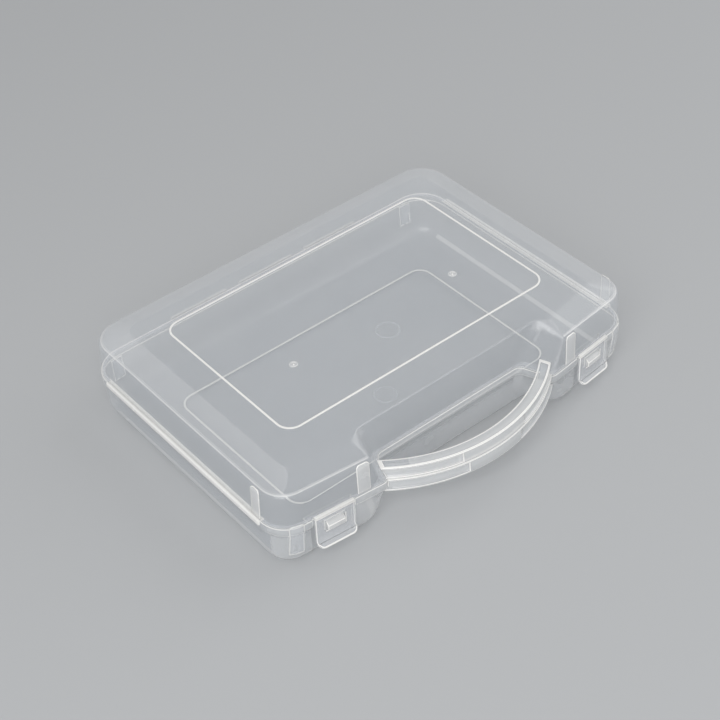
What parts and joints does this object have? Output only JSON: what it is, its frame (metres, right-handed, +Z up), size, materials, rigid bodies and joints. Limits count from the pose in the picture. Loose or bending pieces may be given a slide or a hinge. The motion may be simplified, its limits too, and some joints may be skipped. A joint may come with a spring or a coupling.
{
  "type": "hinged carry case",
  "caption": "Flat clear plastic craft storage case with a film-hinged lid, snap latches on the front shoulders and an arched carrying handle split between base and lid.",
  "frame": {"origin": "on the resting face of the base, below the centre of the raised outline on the lid", "axes": "+X along the length of the case, -Y towards the handle and latches, +Z up"},
  "size_m": [0.193, 0.1544, 0.0419],
  "materials": {
    "clear_polypropylene": "moulded natural polypropylene, clear with a slight milky haze, polished",
    "hinge_film": "thin moulded polypropylene film, slightly whitened where it bends"
  },
  "bodies": {
    "base": {"base_tray": "clear_polypropylene", "handle_lower": "clear_polypropylene", "floor_outline": "clear_polypropylene", "hinge_leaf_lower_left": "hinge_film", "hinge_leaf_lower_middle": "hinge_film", "hinge_leaf_lower_right": "hinge_film", "latch_catch_left": "clear_polypropylene", "latch_catch_right": "clear_polypropylene", "side_ledge_left": "clear_polypropylene", "side_ledge_right": "clear_polypropylene", "guide_tab_left": "clear_polypropylene", "guide_tab_right": "clear_polypropylene", "rear_rib_left": "clear_polypropylene", "rear_rib_right": "clear_polypropylene"},
    "lid": {"lid_shell": "clear_polypropylene", "handle_upper": "clear_polypropylene", "lid_outline": "clear_polypropylene", "lid_gate_rings": "clear_polypropylene", "hinge_leaf_upper_left": "hinge_film", "hinge_leaf_upper_middle": "hinge_film", "hinge_leaf_upper_right": "hinge_film", "latch_root_left": "clear_polypropylene", "latch_root_right": "clear_polypropylene", "lid_front_pad_left": "clear_polypropylene", "lid_front_pad_right": "clear_polypropylene", "lid_side_pad_left": "clear_polypropylene", "lid_side_pad_right": "clear_polypropylene"},
    "latch_left": {"latch_flap_left": "clear_polypropylene"},
    "latch_right": {"latch_flap_right": "clear_polypropylene"}
  },
  "joints": [
    {"name": "lid_hinge", "type": "hinge", "parent": "base", "child": "lid", "pos_m": [0, 0.0672, 0.0216], "axis": [-1, 0, 0], "range_deg": [0, 175]},
    {"name": "latch_left_hinge", "type": "hinge", "parent": "lid", "child": "latch_left", "pos_m": [-0.07055, -0.07099, 0.0218], "axis": [-0.9951, 0.0993, 0], "range_deg": [0, 110]},
    {"name": "latch_right_hinge", "type": "hinge", "parent": "lid", "child": "latch_right", "pos_m": [0.07055, -0.07099, 0.0218], "axis": [-0.9951, -0.0993, 0], "range_deg": [0, 110]}
  ]
}
